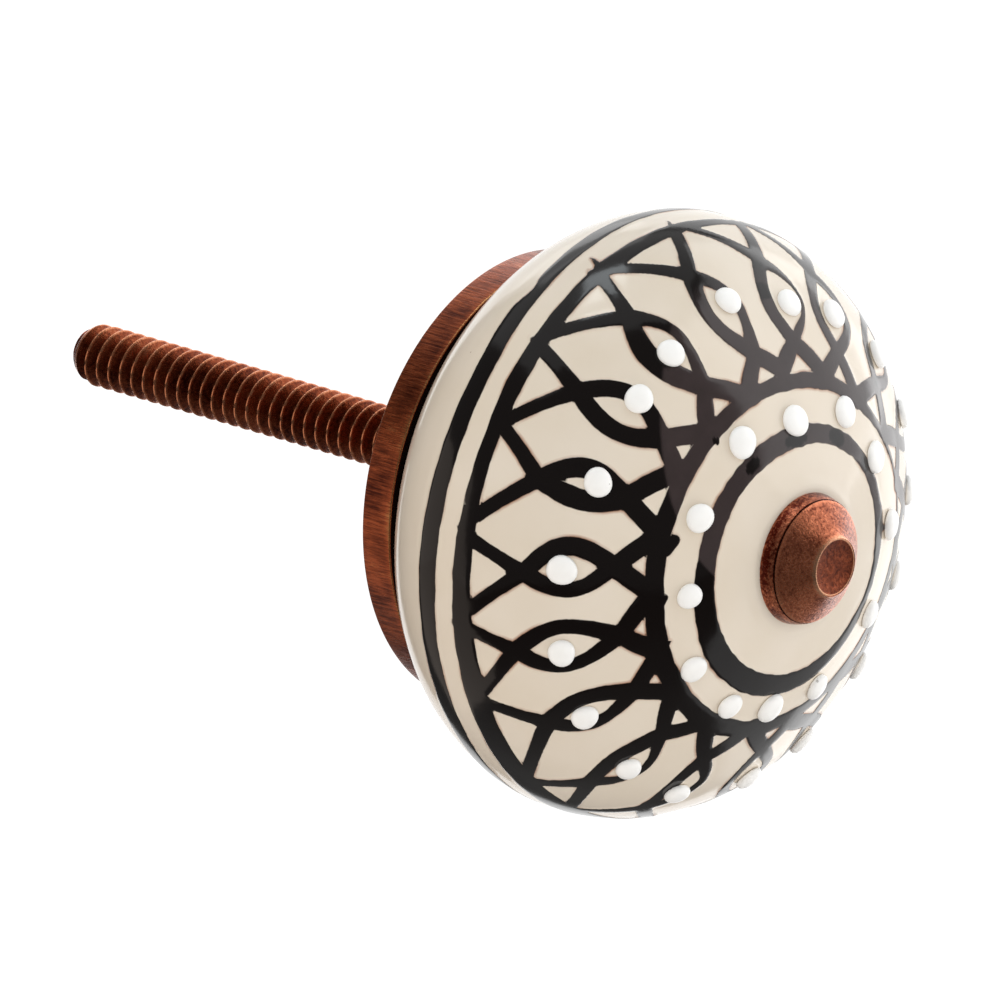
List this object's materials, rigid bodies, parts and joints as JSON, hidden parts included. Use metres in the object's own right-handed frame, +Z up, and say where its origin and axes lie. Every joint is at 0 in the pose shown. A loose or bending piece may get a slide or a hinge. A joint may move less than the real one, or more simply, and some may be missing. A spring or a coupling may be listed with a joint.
{
  "type": "cabinet knob",
  "caption": "Round flattened ceramic knob with a painted lattice, raised enamel dots, a small metal cap, a metal base and a long threaded tail for a drawer or cupboard front.",
  "frame": {"origin": "centre of the metal base's rear rim, the plane that meets the drawer front", "axes": "+Y along the threaded tail, away from the knob; the painted front faces -Y; +Z up"},
  "size_m": [0.04, 0.0645, 0.04],
  "materials": {
    "glazed_ceramic": "gloss",
    "antique_copper": "satin",
    "copper_plated_steel": "satin"
  },
  "bodies": {
    "root": {"ceramic_knob": "glazed_ceramic", "base_cup": "antique_copper", "front_cap": "antique_copper", "threaded_rod": "copper_plated_steel", "clamp_nut": "copper_plated_steel"}
  },
  "joints": []
}
